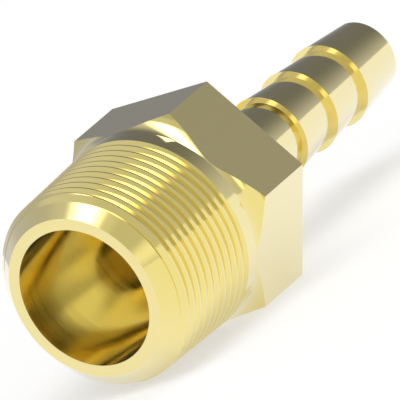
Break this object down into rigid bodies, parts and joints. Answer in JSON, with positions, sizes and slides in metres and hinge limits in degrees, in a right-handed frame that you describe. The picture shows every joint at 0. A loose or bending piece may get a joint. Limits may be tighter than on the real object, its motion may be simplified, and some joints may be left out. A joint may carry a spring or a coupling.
{
  "type": "hose barb tail",
  "caption": "Straight one-piece brass fitting: male taper pipe thread and hexagon at one end, narrower barbed hose tail at the other, bored right through.",
  "frame": {"origin": "centre of the end face of the male thread", "axes": "+Y along the axis from the threaded end to the hose end, +Z square to the upper flat of the hexagon, on whose lower flat the fitting lies"},
  "size_m": [0.0496, 0.1084, 0.043],
  "materials": {
    "brass": "bright turned and drawn brass, smooth enough to mirror"
  },
  "bodies": {
    "root": {"fitting_body": "brass"}
  },
  "joints": []
}
